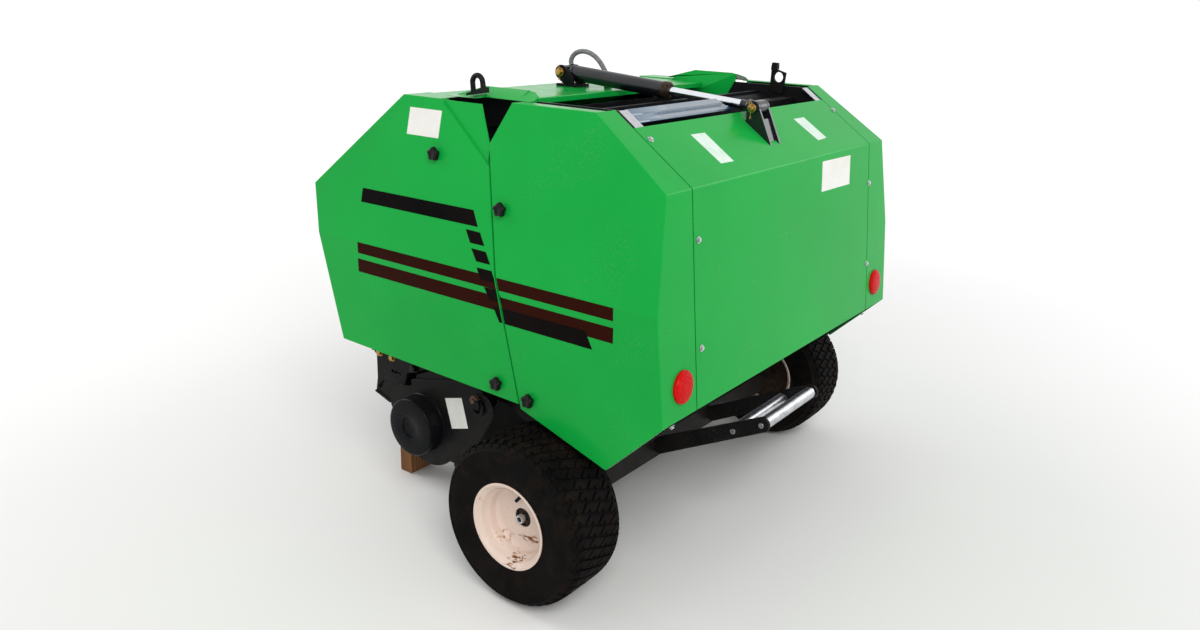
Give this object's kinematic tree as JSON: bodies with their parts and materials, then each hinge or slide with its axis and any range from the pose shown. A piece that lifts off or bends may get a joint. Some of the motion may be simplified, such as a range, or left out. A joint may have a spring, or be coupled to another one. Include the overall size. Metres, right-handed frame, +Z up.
{
  "type": "small round baler",
  "caption": "Compact round baler: steel-roller chamber, hinged tailgate lifted by one hydraulic cylinder, tine pickup, two wheels and a three-point headstock.",
  "frame": {"origin": "centre of the bounding box at ground level", "axes": "+X to the machine's left, -Y to the front where the tractor is, +Z up"},
  "size_m": [1.58, 1.543, 1.3847],
  "materials": {
    "green_paint": "gloss sheet paint",
    "black_paint": "satin paint on plate and tube",
    "roller_steel": "bare steel drum",
    "black_plastic": "moulded knobs",
    "chrome_rod": "ground and plated rod",
    "zinc_steel": "bright zinc",
    "cast_grey": "painted casting",
    "rim_cream": "cream paint with rust",
    "tyre_rubber": "matt tread",
    "hose_rubber": "braided sleeve",
    "timber": "rough sawn",
    "reflector_red": "clear moulded lens"
  },
  "bodies": {
    "root": {"hinge_guards": "green_paint", "front_knobs": "black_plastic", "mast": "black_paint", "side_plate_left": "black_paint", "side_plate_right": "black_paint", "axle_beam": "black_paint", "front_frame": "black_paint", "headstock": "black_paint", "gearbox": "cast_grey", "front_cover_left": "green_paint", "front_cover_right": "green_paint", "front_panel": "green_paint", "front_top_plate": "green_paint", "cylinder_post": "black_paint", "lifting_eye": "black_paint", "hydraulic_hose": "hose_rubber", "timber_posts": "timber", "feed_floor": "black_paint", "ramp_frame": "black_paint"},
    "tailgate": {"tail_plate_left": "black_paint", "tail_plate_right": "black_paint", "rear_cover_left": "green_paint", "rear_cover_right": "green_paint", "rear_panel": "green_paint", "tail_beams": "black_paint", "cylinder_lug": "black_paint", "top_guard": "black_paint", "rear_knobs": "black_plastic", "rear_reflectors": "reflector_red"},
    "cylinder": {"cylinder_barrel": "black_paint"},
    "rod": {"cylinder_rod": "chrome_rod"},
    "wheel_left": {"tyre_left": "tyre_rubber", "rim_left": "rim_cream"},
    "wheel_right": {"tyre_right": "tyre_rubber", "rim_right": "rim_cream"},
    "pickup": {"pickup_frame": "black_paint", "stripper_bands": "black_paint"},
    "reel": {"tine_reel": "zinc_steel"},
    "pto": {"pto_shaft": "zinc_steel"},
    "ramp_roller_in": {"ramp_roller_inner": "zinc_steel"},
    "ramp_roller_out": {"ramp_roller_outer": "zinc_steel"},
    "drum_1": {"roller_1": "roller_steel"},
    "drum_2": {"roller_2": "roller_steel"},
    "drum_3": {"roller_3": "roller_steel"},
    "drum_4": {"roller_4": "roller_steel"},
    "drum_5": {"roller_5": "roller_steel"},
    "drum_6": {"roller_6": "roller_steel"},
    "drum_7": {"roller_7": "roller_steel"},
    "drum_8": {"roller_8": "roller_steel"},
    "drum_9": {"roller_9": "roller_steel"},
    "drum_10": {"roller_10": "roller_steel"},
    "drum_11": {"roller_11": "roller_steel"},
    "drum_12": {"roller_12": "roller_steel"}
  },
  "joints": [
    {"name": "tailgate_hinge", "type": "hinge", "parent": "root", "child": "tailgate", "pos_m": [0, 0.15313, 1.175], "axis": [1, 0, 0], "range_deg": [0, 60]},
    {"name": "cylinder_swing", "type": "hinge", "parent": "root", "child": "cylinder", "pos_m": [0, -0.0985, 1.314], "axis": [1, 0, 0], "range_deg": [0, 39.85]},
    {"name": "rod_slide", "type": "slide", "parent": "cylinder", "child": "rod", "axis": [0, 0.997, -0.0777], "range_m": [-0.2048, 0]},
    {"name": "wheel_left_spin", "type": "hinge", "parent": "root", "child": "wheel_left", "pos_m": [0.685, 0.3625, 0.2285], "axis": [1, 0, 0], "continuous": true},
    {"name": "wheel_right_spin", "type": "hinge", "parent": "root", "child": "wheel_right", "pos_m": [-0.685, 0.3625, 0.2285], "axis": [1, 0, 0], "continuous": true},
    {"name": "pickup_lift", "type": "hinge", "parent": "root", "child": "pickup", "pos_m": [0, 0.0485, 0.407], "axis": [-1, 0, 0], "range_deg": [0, 10]},
    {"name": "reel_spin", "type": "hinge", "parent": "pickup", "child": "reel", "pos_m": [0, -0.1845, 0.281], "axis": [1, 0, 0], "continuous": true},
    {"name": "pto_spin", "type": "hinge", "parent": "root", "child": "pto", "pos_m": [0, -0.5375, 0.5973], "axis": [0, -1, 0], "continuous": true},
    {"name": "ramp_roller_in_spin", "type": "hinge", "parent": "root", "child": "ramp_roller_in", "pos_m": [0, 0.6625, 0.366], "axis": [1, 0, 0], "continuous": true},
    {"name": "ramp_roller_out_spin", "type": "hinge", "parent": "root", "child": "ramp_roller_out", "pos_m": [0, 0.7495, 0.41], "axis": [1, 0, 0], "continuous": true},
    {"name": "drum_1_spin", "type": "hinge", "parent": "root", "child": "drum_1", "pos_m": [0, 0.06019, 1.16903], "axis": [1, 0, 0], "continuous": true},
    {"name": "drum_2_spin", "type": "hinge", "parent": "root", "child": "drum_2", "pos_m": [0, -0.0622, 1.06075], "axis": [1, 0, 0], "continuous": true},
    {"name": "drum_3_spin", "type": "hinge", "parent": "root", "child": "drum_3", "pos_m": [0, -0.12209, 0.90871], "axis": [1, 0, 0], "continuous": true},
    {"name": "drum_4_spin", "type": "hinge", "parent": "root", "child": "drum_4", "pos_m": [0, -0.10643, 0.74605], "axis": [1, 0, 0], "continuous": true},
    {"name": "drum_5_spin", "type": "hinge", "parent": "root", "child": "drum_5", "pos_m": [0, -0.01863, 0.60823], "axis": [1, 0, 0], "continuous": true},
    {"name": "drum_6_spin", "type": "hinge", "parent": "root", "child": "drum_6", "pos_m": [0, 0.23672, 0.51021], "axis": [1, 0, 0], "continuous": true},
    {"name": "drum_7_spin", "type": "hinge", "parent": "tailgate", "child": "drum_7", "pos_m": [0, 0.3995, 0.55689], "axis": [1, 0, 0], "continuous": true},
    {"name": "drum_8_spin", "type": "hinge", "parent": "tailgate", "child": "drum_8", "pos_m": [0, 0.51804, 0.66938], "axis": [1, 0, 0], "continuous": true},
    {"name": "drum_9_spin", "type": "hinge", "parent": "tailgate", "child": "drum_9", "pos_m": [0, 0.57258, 0.82342], "axis": [1, 0, 0], "continuous": true},
    {"name": "drum_10_spin", "type": "hinge", "parent": "tailgate", "child": "drum_10", "pos_m": [0, 0.55125, 0.98543], "axis": [1, 0, 0], "continuous": true},
    {"name": "drum_11_spin", "type": "hinge", "parent": "tailgate", "child": "drum_11", "pos_m": [0, 0.4587, 1.1201], "axis": [1, 0, 0], "continuous": true},
    {"name": "drum_12_spin", "type": "hinge", "parent": "tailgate", "child": "drum_12", "pos_m": [0, 0.31509, 1.19807], "axis": [1, 0, 0], "continuous": true}
  ],
  "couplings": [
    {"joint": "cylinder_swing", "follows": "tailgate_hinge", "ratio": 0.65919},
    {"joint": "rod_slide", "follows": "tailgate_hinge", "m_per_rad": -0.19459},
    {"joint": "reel_spin", "follows": "drum_1_spin", "ratio": 0.5},
    {"joint": "pto_spin", "follows": "drum_1_spin", "ratio": 2.5},
    {"joint": "drum_2_spin", "follows": "drum_1_spin", "ratio": 1},
    {"joint": "drum_3_spin", "follows": "drum_1_spin", "ratio": 1},
    {"joint": "drum_4_spin", "follows": "drum_1_spin", "ratio": 1},
    {"joint": "drum_5_spin", "follows": "drum_1_spin", "ratio": 1},
    {"joint": "drum_6_spin", "follows": "drum_1_spin", "ratio": 1},
    {"joint": "drum_7_spin", "follows": "drum_1_spin", "ratio": 1},
    {"joint": "drum_8_spin", "follows": "drum_1_spin", "ratio": 1},
    {"joint": "drum_9_spin", "follows": "drum_1_spin", "ratio": 1},
    {"joint": "drum_10_spin", "follows": "drum_1_spin", "ratio": 1},
    {"joint": "drum_11_spin", "follows": "drum_1_spin", "ratio": 1},
    {"joint": "drum_12_spin", "follows": "drum_1_spin", "ratio": 1}
  ]
}
